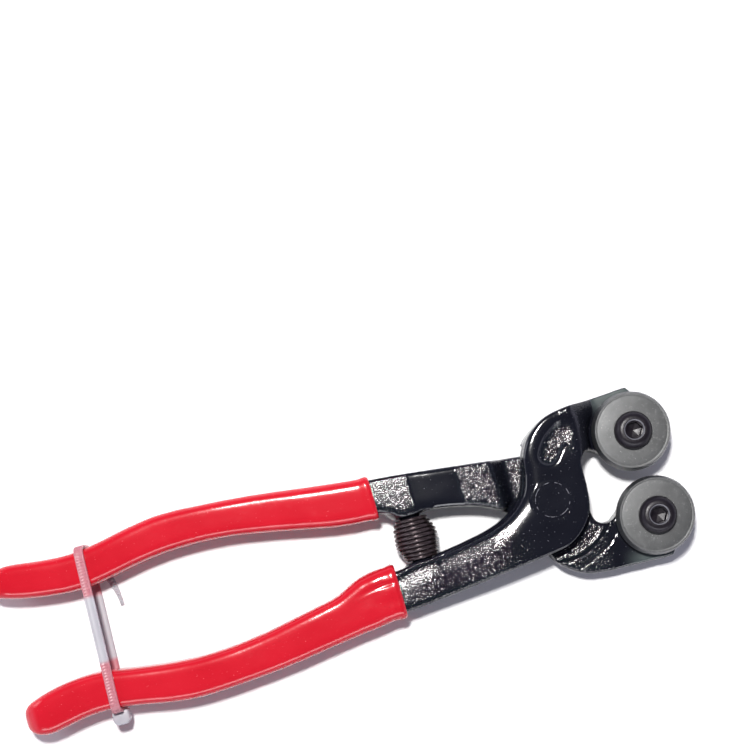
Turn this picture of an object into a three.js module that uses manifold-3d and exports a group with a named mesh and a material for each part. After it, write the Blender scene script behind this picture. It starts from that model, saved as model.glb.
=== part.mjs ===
// Mosaic glass nippers: two cast steel halves that cross on a rivet, each with a dipped vinyl
// grip at one end and a carbide wheel clamped by a button-head screw at the other. A barrel
// spring stands between the handles, and a nylon tie holds them for sale.
// Millimetres. X runs from the grips to the wheels, Z is the pivot axis and the wheels face +Z.
// The origin is on the pivot axis, at the flat back face that the nippers lie on.
import * as THREE from 'three';
import { mergeVertices } from 'three/addons/utils/BufferGeometryUtils.js';
import Module from 'manifold-3d';

const wasm = await Module();
wasm.setup();

// Driving dimensions.
const GAP = 0.3;                 // air between two solids that meet
const THICKNESS = 16;            // of the crossed halves
const LAP_Z = 8;                 // where one half lies on the other
const LAP_RADIUS = 17.5;         // of the round step behind the jaw that each cheek swings in
const LAP_START = -9.5;          // where the ramp on a handle comes down to the lap
const RAMP_START = -13.2;        // where that ramp leaves the face of the handle
const SWING = { shut: -4.3, open: 12, steps: 5, room: 0.5 };
const SEAT_Z = 9;                // face of a jaw, under its wheel
const SEAT_RADIUS = 11.6;        // of the spot face around a wheel
const SEAT_GAP = 0.2;            // under a wheel and over it
const HANDLE_Z = [3, 13];        // lower and upper faces of a handle
const RIVET = { radius: 5, headRadius: 7.25, headHeight: 2.5, chamfer: 0.2 };
const WHEEL = {
  x: 26.6, y: 12.1, radius: 11, faceRadius: 10.3, bore: 3.3, thickness: 5.8, edge: 0.4,
};
const SCREW = {
  shank: 2.9, bottom: 2, headRadius: 5.25, headHeight: 3.2, crownRadius: 2.65, chamfer: 0.5,
  acrossFlats: 4, socket: 2.2,
};
const KIDNEY = { line: [[2.3, 12.2], [4.4, 15], [7.7, 17.3]], half: 2.8, depth: 1.1, steps: 6 };
const GRIP_Z = [1.6, 14.2];      // lower and upper faces of a grip
const MOUTH = -47;               // where a grip begins
const THROAT = -50;              // how far the handle's full section runs into the grip
const TANG = { halfWidth: 4.1, z: [3.7, 12.3], start: -46, end: -152, stations: 15, bevel: 1.2 };
const SPRING = {
  x: -38.8, z: 8, turns: 9.5, wire: 0.58, endRadius: 3.8, midRadius: 5.6, from: -5.6, to: 6.6,
};
const BOSS = { padRadius: 4.8, rootRadius: 7.4, pinRadius: 2.8, tipRadius: 2.3, pin: 3, root: 3 };
const TIE = {
  x: -130.5, y: 1.1, turn: -0.05, width: 2.6, strap: 1.1, half: 24.1, bottom: 0.2, top: 15.6,
  radius: 3, headZ: [5.6, 10.2], tailThickness: 0.9,
};

const PAINT = { color: 0x191b22, roughness: 0.32, metalness: 0.4 };
const VINYL = { color: 0xd81f30, roughness: 0.28, metalness: 0 };
const CARBIDE = { color: 0x7b7f7d, roughness: 0.35, metalness: 0.9 };
const BLACK_OXIDE = { color: 0x231f28, roughness: 0.35, metalness: 0.8 };
const NYLON = { color: 0xe4e1ea, roughness: 0.45, metalness: 0 };

// Solids.
function toSolid(geometry) {
  const bare = geometry.clone();
  for (const name of ['normal', 'uv']) bare.deleteAttribute(name);
  const merged = mergeVertices(bare, 1e-4);
  return new wasm.Manifold(new wasm.Mesh({
    numProp: 3,
    vertProperties: new Float32Array(merged.attributes.position.array),
    triVerts: new Uint32Array(merged.index.array),
  }));
}

function toMesh(name, solid, finish) {
  const { vertProperties, triVerts } = solid.getMesh();
  const geometry = new THREE.BufferGeometry();
  geometry.setAttribute('position', new THREE.BufferAttribute(vertProperties, 3));
  geometry.setIndex(new THREE.BufferAttribute(triVerts, 1));
  geometry.computeVertexNormals();
  const mesh = new THREE.Mesh(geometry, new THREE.MeshStandardMaterial(finish));
  mesh.name = name;
  return mesh;
}

function cut(solid, ...tools) {
  return tools.reduce((left, tool) => left.subtract(tool), solid);
}

function plate(shape, [bottom, top], options = {}) {
  const { bevel = 0, inset = bevel, grow = 0, segments = 3, curveSegments = 2 } = options;
  const geometry = new THREE.ExtrudeGeometry(shape, {
    depth: top - bottom - 2 * bevel,
    bevelEnabled: bevel > 0,
    bevelThickness: bevel,
    bevelSize: inset,
    bevelOffset: grow - inset,
    bevelSegments: segments,
    curveSegments,
  });
  geometry.translate(0, 0, bottom + bevel);
  return toSolid(geometry);
}

function disc(radius, [bottom, top], at = [0, 0], sides = 48) {
  const geometry = new THREE.CylinderGeometry(radius, radius, top - bottom, sides);
  geometry.rotateX(Math.PI / 2);
  geometry.translate(at[0], at[1], (bottom + top) / 2);
  return toSolid(geometry);
}

function turned(profile, sides) {
  const points = profile.map(([radius, height]) => new THREE.Vector2(radius, height));
  const geometry = new THREE.LatheGeometry([...points, points[0]], sides);
  geometry.rotateX(Math.PI / 2);
  return geometry;
}

// Outlines. A run is a list of points: "curve" joins them smoothly, "line" straight.
function outline(...runs) {
  const shape = new THREE.Shape();
  runs.forEach(([kind, ...points], index) => {
    const vectors = points.map(([x, y]) => new THREE.Vector2(x, y));
    if (index === 0) shape.moveTo(vectors[0].x, vectors[0].y);
    if (kind === 'curve') shape.splineThru(index === 0 ? vectors.slice(1) : vectors);
    else for (const { x, y } of vectors) shape.lineTo(x, y);
  });
  shape.closePath();
  return shape;
}

const mirrored = (points) => points.map(([x, y]) => [x, -y]);

// The front half: handle at -Y, jaw at +Y. Its handle edges run from the pivot to the mouth of
// the grip, and its grip edges from there to the tip.
const FRONT = {
  side: 1,
  outer: [[-15, -15.4], [-33, -17.4], [-50, -18.8]],
  inner: [[-50, -7.3], [-34, -5.3], [-20, -3.1], [-12.8, -0.3]],
  gripOuter: [
    [-47, -19.7], [-60, -21.1], [-80, -23.6], [-103, -25.3], [-114, -24.7], [-125, -22.5],
    [-134, -21.4], [-142, -21.8], [-150, -23.3], [-154.5, -23], [-157.2, -20.8], [-157.6, -18],
  ],
  gripInner: [
    [-156.6, -14.4], [-153, -12.5], [-145, -10.7], [-135, -10.2], [-125, -11.7], [-114, -13.4],
    [-103, -14.2], [-90, -13.3], [-70, -10], [-64.5, -9], [-59.5, -6.4], [-55.6, -5.1],
    [-51, -4.6], [-47, -4.9],
  ],
};
const BACK = {
  side: -1,
  outer: [[-15, 15.6], [-33, 18], [-50, 20]],
  inner: [[-50, 10.3], [-35, 7.4], [-22, 4.7], [-12.4, 0.2]],
  gripOuter: [
    [-47, 20.4], [-60, 22.2], [-80, 25], [-103, 27.1], [-114, 26.1], [-125, 24.2],
    [-134, 23.5], [-142, 24.2], [-150, 25.4], [-154.2, 24.9], [-156.9, 22.8], [-157.4, 20.3],
  ],
  gripInner: [
    [-156.4, 17.6], [-153, 16.1], [-145, 14.2], [-134, 12.9], [-125, 13.6], [-114, 15.4],
    [-103, 16.4], [-90, 15.7], [-70, 11.9], [-60, 9.7], [-53, 8.7], [-47, 8.4],
  ],
};

// The head, as the front half has it: jaw, notch behind the wheel, round cheek, and shoulder.
const JAW = [
  [29, 24.5], [31.4, 21], [31.4, 8], [29.2, 5.8], [20.5, 5.8], [17.5, 8.5], [15, 10.3],
];
const NOTCH = [[12.5, 10.2], [10.8, 8.6], [10.3, 5.5], [10.25, 1]];
const CHEEK = [[9.4, -5], [6.1, -9.9], [1.1, -13.3], [-4.7, -14.3]];
const SHOULDER = [[-7.8, 4.4], [-5.8, 10.6], [-4.6, 14.4], [-1.7, 18.7], [4, 22.4], [10, 23.6]];

function castingOutline({ side, outer, inner }) {
  const face = (points) => (side > 0 ? points : mirrored(points));
  return outline(
    ['line', ...face(JAW)],
    ['curve', ...face(NOTCH), ...face(CHEEK), ...outer],
    ['line', inner[0]],
    ['curve', ...inner.slice(1), ...face(SHOULDER)],
  );
}

// A profile seen along Y, as a slab wide enough for both handles.
function slab(points, halfWidth = 40) {
  const shape = new THREE.Shape(points.map(([x, z]) => new THREE.Vector2(x, z)));
  const geometry = new THREE.ExtrudeGeometry(shape, { depth: 2 * halfWidth, bevelEnabled: false });
  geometry.rotateX(Math.PI / 2);
  geometry.translate(0, halfWidth, 0);
  return toSolid(geometry);
}

// The middle line between a grip's two edges, for the tang inside it.
function tangShape({ side, gripOuter, gripInner }, extra) {
  const edge = (points) => new THREE.SplineCurve(points.map(([x, y]) => new THREE.Vector2(x, y)));
  const [outer, inner] = [edge(gripOuter), edge([...gripInner].reverse())];
  const samples = 200;
  const at = (curve, x) => curve.getPoints(samples)
    .reduce((best, p) => (Math.abs(p.x - x) < Math.abs(best.x - x) ? p : best)).y;
  const { start, end, stations } = TANG;
  const half = TANG.halfWidth + extra;
  const middle = Array.from({ length: stations }, (_, i) => {
    const x = start + (end - start) * (i / (stations - 1));
    return [x, (at(outer, x) + at(inner, x)) / 2];
  });
  middle[stations - 1][0] -= extra;
  const near = middle.map(([x, y]) => [x, y - side * half]);
  const far = [...middle].reverse().map(([x, y]) => [x, y + side * half]);
  return outline(['curve', ...near], ['line', far[0]], ['curve', ...far.slice(1)]);
}

// Each half's heights along X. Its handle slopes up to the cheek on the outer side and down to
// the lap on the other, and the jaw is a low block under the wheel.
const LAP_FACES = [LAP_Z + GAP / 2, LAP_Z - GAP / 2];
const HEIGHTS = {
  front: [
    [THROAT + 0.1, 3], [RAMP_START, 3], [LAP_START, LAP_FACES[0]], [-8, LAP_FACES[0]], [-8, 0],
    [32, 0], [32, SEAT_Z], [19, SEAT_Z], [11.5, THICKNESS], [-18, THICKNESS], [-38, 13],
    [THROAT + 0.1, 13],
  ],
  back: [
    [THROAT + 0.1, 3], [-38, 3], [-18, 0], [32, 0], [32, SEAT_Z], [-8, SEAT_Z],
    [-8, LAP_FACES[1]], [LAP_START, LAP_FACES[1]], [RAMP_START, 13], [THROAT + 0.1, 13],
  ],
};

// The room for the other half: a round step behind the jaw, and all that its outline sweeps.
function swingRoom(other, [low, high]) {
  const { shut, open, steps, room } = SWING;
  const reach = 40;
  const aheadOfShoulder = slab([[-8, low], [reach, low], [reach, high], [-8, high]]);
  const step = disc(LAP_RADIUS, [low, high], [0, 0], 72).intersect(aheadOfShoulder);
  const grown = { bevel: GAP, inset: 0, grow: room, segments: 1 };
  const shape = plate(castingOutline(other), [low, high], grown);
  return Array.from({ length: steps }, (_, i) => shut + ((open - shut) * i) / (steps - 1))
    .reduce((all, turn) => all.add(shape.rotate([0, 0, other.side * turn])), step);
}

// A kidney-shaped pocket in the cheek: a slot with round ends along a bent line.
function kidney(side, [low, high]) {
  const { line, half, steps } = KIDNEY;
  const path = new THREE.SplineCurve(line.map(([x, y]) => new THREE.Vector2(x, side * y)));
  const rim = (t, turn) => {
    const way = path.getTangent(t).multiplyScalar(half);
    return way.rotateAround(new THREE.Vector2(), turn).add(path.getPoint(t));
  };
  const share = Array.from({ length: steps + 1 }, (_, i) => i / steps);
  const right = share.map((t) => rim(t, -Math.PI / 2));
  const end = share.slice(1, -1).map((t) => rim(1, Math.PI * (t - 0.5)));
  const left = share.map((t) => rim(1 - t, Math.PI / 2));
  const start = share.slice(1, -1).map((t) => rim(0, Math.PI * (t + 0.5)));
  return plate(new THREE.Shape([...right, ...end, ...left, ...start]), [low, high]);
}

// A pad that flares out of a handle for the spring to stand on, as thick as the handle, with a
// pin that centres the spring.
function boss(side) {
  const { padRadius, rootRadius, pinRadius, tipRadius, pin, root } = BOSS;
  const round = aboutSpring(side, [
    [0, -root], [rootRadius, -root], [padRadius, 0], [pinRadius, 0], [tipRadius, pin], [0, pin],
  ]);
  const [low, high] = HANDLE_Z;
  return round.intersect(slab([[THROAT, low], [LAP_START, low], [LAP_START, high], [THROAT, high]]));
}

// The room that the end coils need, cut into the edge of the handle.
function coilRoom(side) {
  const radius = SPRING.endRadius + SPRING.wire + 2 * GAP;
  const { root } = BOSS;
  return aboutSpring(side, [[0, 0], [radius, 0], [radius, root + 1], [0, root + 1]]);
}

function aboutSpring(side, profile) {
  const geometry = turned(profile, 28);
  geometry.rotateX(-side * Math.PI / 2);
  geometry.translate(SPRING.x, side > 0 ? SPRING.from - GAP : SPRING.to + GAP, SPRING.z);
  return toSolid(geometry);
}

function casting(half, other, heights) {
  const front = half.side > 0;
  const wheelAt = [WHEEL.x, half.side * WHEEL.y];
  const above = THICKNESS + 1;
  const otherSide = front ? [-1, LAP_FACES[0]] : [LAP_FACES[1], above];
  const pocket = front ? [THICKNESS - KIDNEY.depth, above] : [-1, KIDNEY.depth];
  const body = plate(castingOutline(half), [-1, above], { curveSegments: 3 })
    .intersect(slab(heights));
  const tang = plate(tangShape(half, 0), TANG.z, { bevel: TANG.bevel, segments: 1, curveSegments: 1 });
  return cut(
    body.subtract(coilRoom(half.side)).add(tang).add(boss(half.side)),
    swingRoom(other, otherSide),
    disc(SEAT_RADIUS, [SEAT_Z, above], wheelAt, 64),
    disc(RIVET.radius + GAP, [-1, above]),
    ...(front ? [] : [disc(RIVET.headRadius + GAP, [-1, RIVET.headHeight + GAP])]),
    disc(SCREW.shank + GAP, [SCREW.bottom - GAP, THICKNESS], wheelAt, 32),
    kidney(half.side, pocket),
  );
}

// A sleeve of dipped vinyl with rounded edges, open at its mouth for the tang.
function grip(half) {
  const shape = outline(['curve', ...half.gripOuter, ...half.gripInner]);
  const room = [TANG.z[0] - GAP, TANG.z[1] + GAP];
  const [low, high] = [HANDLE_Z[0] - GAP, HANDLE_Z[1] + GAP];
  const [back, ahead] = [THROAT - GAP, MOUTH + 7];
  const throat = slab([[ahead, low], [back, low], [back, high], [ahead, high]])
    .intersect(plate(throatShape(half), [-1, THICKNESS + 1]));
  return cut(
    plate(shape, GRIP_Z, { bevel: 3, inset: 1.6 }),
    plate(tangShape(half, GAP), room, { bevel: TANG.bevel, segments: 1, curveSegments: 1 }),
    throat,
  );
}

// The handle's outline near the mouth of the grip, a gap wider than the handle.
function throatShape({ side, outer, inner }) {
  const apart = (points, sense) => points.map(([x, y]) => [x, y + sense * side * GAP * 1.1]);
  const low = apart(outer.slice(1), -1);
  const high = apart(inner.slice(0, 2), 1);
  low[1][0] -= 1;
  high[0][0] -= 1;
  return outline(['line', ...low, ...high]);
}

function wheel() {
  const { radius, faceRadius, bore, thickness, edge } = WHEEL;
  const profile = [
    [bore, 0], [faceRadius, 0], [radius, (thickness - edge) / 2], [radius, (thickness + edge) / 2],
    [faceRadius, thickness], [bore, thickness],
  ];
  return toSolid(turned(profile, 64));
}

function screw() {
  const { shank, bottom, headRadius, headHeight, crownRadius, chamfer, acrossFlats, socket } = SCREW;
  const under = SEAT_Z + WHEEL.thickness + 2 * SEAT_GAP;
  const crown = under + headHeight;
  const dome = Array.from({ length: 4 }, (_, i) => {
    const turn = (i / 3) * (Math.PI / 2);
    return [
      crownRadius + (headRadius - crownRadius) * Math.cos(turn),
      under + chamfer + (headHeight - chamfer) * Math.sin(turn),
    ];
  });
  const profile = [
    [0, bottom], [shank - chamfer, bottom], [shank, bottom + chamfer], [shank, under],
    [headRadius - 0.1, under], ...dome, [0, crown],
  ];
  const corner = acrossFlats / Math.sqrt(3);
  const hex = new THREE.CylinderGeometry(corner, corner, socket + 1, 6);
  hex.rotateX(Math.PI / 2);
  hex.translate(0, 0, crown - socket + (socket + 1) / 2);
  return cut(toSolid(turned(profile, 40)), toSolid(hex));
}

function rivet() {
  const { radius, headRadius, headHeight, chamfer } = RIVET;
  const profile = [
    [0, 0], [headRadius - chamfer, 0], [headRadius, chamfer], [headRadius, headHeight],
    [radius, headHeight], [radius, THICKNESS - chamfer], [radius - chamfer, THICKNESS],
    [0, THICKNESS],
  ];
  return toSolid(turned(profile, 48));
}

// The barrel spring: a helix about Y, widest at its middle coils.
class BarrelHelix extends THREE.Curve {
  getPoint(t, target = new THREE.Vector3()) {
    const { from, to, turns, wire, endRadius, midRadius } = SPRING;
    const angle = t * turns * 2 * Math.PI;
    const radius = endRadius + (midRadius - endRadius) * Math.sin(Math.PI * t) ** 0.7;
    const y = from + wire + (to - from - 2 * wire) * t;
    return target.set(radius * Math.cos(angle), y, radius * Math.sin(angle));
  }
}

function spring() {
  const section = new THREE.Shape();
  section.absarc(0, 0, SPRING.wire, 0, 2 * Math.PI);
  const geometry = new THREE.ExtrudeGeometry(section, {
    extrudePath: new BarrelHelix(), steps: 130, curveSegments: 3, bevelEnabled: false,
  });
  geometry.translate(SPRING.x, 0, SPRING.z);
  return toSolid(geometry);
}

// The tie: a flat loop round both grips with its head outside the front one, and a thin tail.
function roundedBox(y0, y1, z0, z1, radius) {
  const shape = new THREE.Shape();
  shape.absarc(y1 - radius, z1 - radius, radius, 0, Math.PI / 2);
  shape.absarc(y0 + radius, z1 - radius, radius, Math.PI / 2, Math.PI);
  shape.absarc(y0 + radius, z0 + radius, radius, Math.PI, 1.5 * Math.PI);
  shape.absarc(y1 - radius, z0 + radius, radius, 1.5 * Math.PI, 2 * Math.PI);
  shape.closePath();
  return shape;
}

const TIE_HEAD = [[-2.3, 0.5], [2.3, 0.5], [2.3, -2.2], [1.5, -3.1], [-1.5, -3.1], [-2.3, -2.2]];
const TIE_TAIL = [
  [-1.2, 19.5], [5.2, 14.4], [5.6, 7.5], [6.4, 3.2], [7, 3.9], [7.1, 9], [7, 15.6], [1.2, 21.6],
];

function tie() {
  const { width, strap, half, bottom, top, radius, headZ, tailThickness } = TIE;
  const loop = roundedBox(-half, half, bottom, top, radius);
  const hole = roundedBox(strap - half, half - strap, bottom + strap, top - strap, radius - 1);
  loop.holes.push(hole);
  const band = new THREE.ExtrudeGeometry(loop, {
    depth: width, bevelEnabled: false, curveSegments: 6,
  });
  band.translate(0, 0, -width / 2);
  band.rotateX(Math.PI / 2);
  band.rotateZ(Math.PI / 2);
  const head = plate(outline(['line', ...TIE_HEAD.map(([x, y]) => [x, y - half])]), headZ);
  const tail = plate(outline(['line', ...TIE_TAIL]), [bottom, bottom + tailThickness]);
  return toSolid(band).add(head).add(tail);
}

const nippers = new THREE.Group();
nippers.add(
  toMesh('back_half', casting(BACK, FRONT, HEIGHTS.back), PAINT),
  toMesh('front_half', casting(FRONT, BACK, HEIGHTS.front), PAINT),
  toMesh('pivot_rivet', rivet(), PAINT),
  toMesh('back_grip', grip(BACK), VINYL),
  toMesh('front_grip', grip(FRONT), VINYL),
  toMesh('return_spring', spring(), BLACK_OXIDE),
);

for (const [name, side] of [['upper', 1], ['lower', -1]]) {
  const seated = new THREE.Group();
  seated.position.set(WHEEL.x, side * WHEEL.y, 0);
  const disk = toMesh(`${name}_wheel`, wheel(), CARBIDE);
  disk.position.z = SEAT_Z + SEAT_GAP;
  seated.add(disk, toMesh(`${name}_wheel_screw`, screw(), BLACK_OXIDE));
  nippers.add(seated);
}

const strap = toMesh('cable_tie', tie(), NYLON);
strap.position.set(TIE.x, TIE.y, 0);
strap.rotation.z = TIE.turn;
nippers.add(strap);

export default nippers;
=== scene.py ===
import math

import bpy
import numpy as np
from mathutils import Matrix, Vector, noise
from mathutils.bvhtree import BVHTree


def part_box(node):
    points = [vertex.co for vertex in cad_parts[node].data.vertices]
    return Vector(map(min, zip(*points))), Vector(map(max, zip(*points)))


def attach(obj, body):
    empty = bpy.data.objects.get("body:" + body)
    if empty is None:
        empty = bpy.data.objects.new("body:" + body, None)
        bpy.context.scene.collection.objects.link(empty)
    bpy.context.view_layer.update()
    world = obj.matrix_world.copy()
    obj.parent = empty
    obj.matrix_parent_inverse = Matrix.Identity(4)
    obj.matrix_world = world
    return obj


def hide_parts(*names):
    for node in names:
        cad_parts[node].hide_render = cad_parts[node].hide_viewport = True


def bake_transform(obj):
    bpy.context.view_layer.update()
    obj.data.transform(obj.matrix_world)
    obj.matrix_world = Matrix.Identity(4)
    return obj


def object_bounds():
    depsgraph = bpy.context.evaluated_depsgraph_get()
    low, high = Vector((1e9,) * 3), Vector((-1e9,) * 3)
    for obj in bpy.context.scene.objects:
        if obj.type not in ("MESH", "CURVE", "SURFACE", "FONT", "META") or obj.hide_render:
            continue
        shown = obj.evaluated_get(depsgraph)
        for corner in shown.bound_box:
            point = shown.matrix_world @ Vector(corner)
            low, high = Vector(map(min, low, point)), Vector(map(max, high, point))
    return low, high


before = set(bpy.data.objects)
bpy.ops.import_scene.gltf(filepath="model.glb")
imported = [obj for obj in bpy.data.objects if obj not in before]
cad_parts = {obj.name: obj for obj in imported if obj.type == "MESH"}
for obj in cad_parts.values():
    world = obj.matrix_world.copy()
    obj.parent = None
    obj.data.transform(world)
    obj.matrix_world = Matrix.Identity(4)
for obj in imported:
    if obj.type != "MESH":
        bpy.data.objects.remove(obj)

# ---- Camera, table and light -------------------------------------------------------------
# The nippers lie on a white table and are looked at from straight above, a little askew. A
# small lamp hangs past their far side, a weak one stands to the left, and a long strip on the
# near side draws light lines along rounded edges. The room is pale low down, dark overhead.
MM = 0.001
LOOK_HEIGHT = 440 * MM
LOOK_ASKEW = math.radians(-16.4)
LOOK_PAST_MIDDLE = Vector((9.7 * MM, 1.4 * MM, 0))
FOCAL_LENGTH = 74.1
FRAME_SHIFT = 0.2267
cad_low, cad_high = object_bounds()
middle = (cad_low + cad_high) / 2
camera = bpy.data.objects.new("camera", bpy.data.cameras.new("camera"))
camera.data.lens = FOCAL_LENGTH
camera.data.shift_y = FRAME_SHIFT
camera.location = middle + LOOK_PAST_MIDDLE
camera.location.z = LOOK_HEIGHT
camera.rotation_euler = (0, 0, LOOK_ASKEW)
bpy.context.scene.collection.objects.link(camera)
bpy.context.scene.camera = camera
bpy.context.scene.view_settings.view_transform = "Standard"


def fill(tree, node, inputs):
    """Links each socket given, and sets each plain value, on the node's inputs."""
    for key, value in inputs.items():
        if isinstance(value, bpy.types.NodeSocket):
            tree.links.new(value, node.inputs[key])
        else:
            node.inputs[key].default_value = value


def add_node(tree, kind, inputs=None, **settings):
    """A shader node with its inputs filled and its plain settings set."""
    node = tree.nodes.new("ShaderNode" + kind)
    for key, value in settings.items():
        setattr(node, key, value)
    fill(tree, node, inputs or {})
    return node


def new_material(name, **settings):
    """A material with a Principled shader, whose plain settings are given by name."""
    material = bpy.data.materials.new(name)
    material.use_nodes = True
    shader = material.node_tree.nodes["Principled BSDF"]
    for key, value in settings.items():
        shader.inputs[key.replace("_", " ").title()].default_value = value
    return material, material.node_tree, shader


def shade_smooth(mesh):
    mesh.polygons.foreach_set("use_smooth", [True] * len(mesh.polygons))


def new_piece(name, verts, faces, material):
    """A smooth-shaded mesh from vertices in metres."""
    mesh = bpy.data.meshes.new(name)
    mesh.from_pydata([tuple(v) for v in verts], [], faces)
    shade_smooth(mesh)
    mesh.materials.append(material)
    mesh.update()
    piece = bpy.data.objects.new(name, mesh)
    bpy.context.scene.collection.objects.link(piece)
    return piece


def add_lamp(name, toward, distance, size, power, colour):
    """A lamp that shines on the middle of the nippers, as wide and as deep as size says."""
    lamp = bpy.data.lights.new(name, "AREA")
    lamp.shape = "RECTANGLE"
    lamp.size, lamp.size_y = size
    lamp.energy, lamp.color = power, colour
    holder = bpy.data.objects.new(name, lamp)
    direction = Vector(toward).normalized()
    holder.location = middle + direction * distance
    holder.rotation_euler = direction.to_track_quat("Z", "Y").to_euler()
    bpy.context.scene.collection.objects.link(holder)
    return holder


# Direction, distance in m, width and depth in m, power in W, colour.
add_lamp("far_lamp", (0.006, 0.26, 1.0), 0.62, (0.055, 0.055), 4.9, (1.0, 0.985, 0.97))
add_lamp("left_lamp", (-0.80, 0.45, 0.42), 0.70, (0.30, 0.30), 1.0, (0.93, 0.95, 1.0))
edge_strip = add_lamp("edge_strip", (-0.34, -1.15, 1.0), 0.80, (1.3, 0.22), 6.5, (0.95, 0.96, 1.0))
edge_strip.visible_diffuse = False

ZENITH = (0.050, 0.050, 0.075, 1)
HORIZON = (1.05, 1.05, 1.30, 1)
PALE_BELOW, DARK_ABOVE = 0.10, 0.62
sky = bpy.data.worlds.new("sky")
bpy.context.scene.world = sky
sky.use_nodes = True
tree = sky.node_tree
upward = add_node(tree, "SeparateXYZ", {0: add_node(tree, "TexCoord").outputs["Generated"]})
height = add_node(tree, "MapRange", {"Value": upward.outputs["Z"], "From Min": PALE_BELOW,
                                     "From Max": DARK_ABOVE}, interpolation_type="SMOOTHSTEP")
shade = add_node(tree, "Mix", data_type="RGBA")
fill(tree, shade, {0: height.outputs[0], 6: HORIZON, 7: ZENITH})
tree.links.new(shade.outputs[2], tree.nodes["Background"].inputs["Color"])

TABLE_HALF = 2.0
TABLE_GAP = 0.02 * MM
white, tree, shader = new_material("table_white", base_color=(0.88, 0.88, 0.89, 1), roughness=0.7,
                                   emission_color=(1, 1, 1, 1), emission_strength=0.04)
table = new_piece("table", [(x * TABLE_HALF, y * TABLE_HALF, cad_low.z - TABLE_GAP)
                            for x, y in ((-1, -1), (1, -1), (1, 1), (-1, 1))],
                  [(0, 1, 2, 3)], white)
# Seen from below, the table is clear, so that the underside shows.
from_below = add_node(tree, "NewGeometry").outputs["Backfacing"]
clear = add_node(tree, "BsdfTransparent")
either = add_node(tree, "MixShader", {0: from_below, 1: shader.outputs[0], 2: clear.outputs[0]})
tree.links.new(either.outputs[0], tree.nodes["Material Output"].inputs["Surface"])


# ---- The two cast halves -----------------------------------------------------------------
# Each half is one steel casting with its handle, cheek and jaw, under thick gloss black paint.
# The skin keeps the grain of the sand mould. The cheeks and the wheel seats were ground flat.
VOXEL = 0.32 * MM
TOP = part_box("pivot_rivet")[1].z / MM
RIVET_R, RIVET_HEAD_R = 5.0, 7.25
wheels = {side: sum(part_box(name), Vector()) / 2
          for side, name in ((1, "upper_wheel"), (-1, "lower_wheel"))}

# Places on a half are in mm, as the front half has them: its handle lies at -Y and its jaw at
# +Y, and its outer face is up. Pairs are from and to in X.
SEAT_HEIGHT, CHEEK_HEIGHT = 9, 15.2
JAW_FROM = 9
SPRING_PAD, SPRING_PAD_HEIGHTS = (-45, -32.5), (3.4, 12.6)
PATCH, PATCH_DEPTH = (-36.5, -23.2), 0.06
RAMP = (-22.8, -6)
KIDNEY, KIDNEY_R = ((2.3, 12.2), (4.4, 15), (7.7, 17.3)), 3.5
LAP_R = 17.2
NAME_PAD, NAME_PAD_R, NAME_PAD_DEPTH = ((-43.2, -14.2), (-19.0, -11.2)), 2.7, 0.30
RIDGE_RISE, STREAK_RISE = 0.28, 0.32
CROWN_WIDTH, CROWN_DROP = 6.4, 1.15
GRAIN_DEPTH, COARSE_DEPTH, WAVE_DEPTH = 0.012, 0.022, 0.06
ROUNDS = {"all edges": 6, "outer edges": 16, "inner edge": 40, "beside the wheel": 200}


def points_of(mesh, what="vertices"):
    """Each vertex's place, or its normal, as rows of an array."""
    values = np.zeros(len(mesh.vertices) * 3, np.float32)
    if what == "vertices":
        mesh.vertices.foreach_get("co", values)
    else:
        mesh.vertex_normals.foreach_get("vector", values)
    return values.reshape(-1, 3).astype(float)


def set_points(mesh, points):
    mesh.vertices.foreach_set("co", points.astype(np.float32).ravel())
    mesh.update()


def relax(mesh, weight, rounds):
    """Draws each vertex towards the middle of its neighbours, which rounds the edges."""
    ends = np.zeros(len(mesh.edges) * 2, np.int32)
    mesh.edges.foreach_get("vertices", ends)
    one, two = ends.reshape(-1, 2).T
    total = len(mesh.vertices)
    count = np.bincount(one, minlength=total) + np.bincount(two, minlength=total)
    points = points_of(mesh)
    share = (0.5 * weight / np.maximum(count, 1))[:, None]
    for _ in range(rounds):
        pull = np.stack([np.bincount(one, points[two, k], total)
                         + np.bincount(two, points[one, k], total) for k in range(3)], axis=1)
        points = points + share * (pull - count[:, None] * points)
    set_points(mesh, points)


def step(value, low, high):
    """0 at low, 1 at high, with a smooth rise between."""
    t = np.clip((value - low) / (high - low), 0, 1)
    return t * t * (3 - 2 * t)


def band(value, low, high, soft):
    """1 between low and high, fading to 0 over soft on both sides."""
    return step(value, low - soft, low) * (1 - step(value, high, high + soft))


def within(distance, edge, soft):
    """1 nearer than edge, fading to 0 over soft on both sides of it."""
    return 1 - step(distance, edge - soft, edge + soft)


def add_mask(mesh, name, values):
    """Keeps a value from 0 to 1 for each vertex, for the material to read."""
    layer = mesh.attributes.new(name, "FLOAT", "POINT")
    layer.data.foreach_set("value", np.clip(values, 0, 1).astype(np.float32))


def lumps(points, size, seed):
    """Smooth noise from about -1 to 1, with lumps of that size."""
    return np.array([noise.noise(p) for p in (points / size + 17.3 * seed).tolist()])


def edges_at(node, xs, height):
    """The two outer edges, in Y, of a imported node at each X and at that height, in mm."""
    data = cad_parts[node].data
    tree = BVHTree.FromPolygons([v.co for v in data.vertices], [p.vertices for p in data.polygons])
    found = []
    for way in (1, -1):
        hits = [tree.ray_cast(Vector((x * MM, -0.1 * way, height * MM)), Vector((0, way, 0)))[0]
                for x in xs]
        found.append(np.array([hit.y / MM for hit in hits]))
    return found


def from_line(x, y, line):
    """How far each place is, seen from above, from a line of points."""
    nearest = np.full(len(x), 1e9)
    for start, end in zip(line[:-1], line[1:]):
        run = np.array(end) - np.array(start)
        t = np.clip(((x - start[0]) * run[0] + (y - start[1]) * run[1]) / (run @ run), 0, 1)
        away = np.hypot(x - start[0] - t * run[0], y - start[1] - t * run[1])
        nearest = np.minimum(nearest, away)
    return nearest


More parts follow.
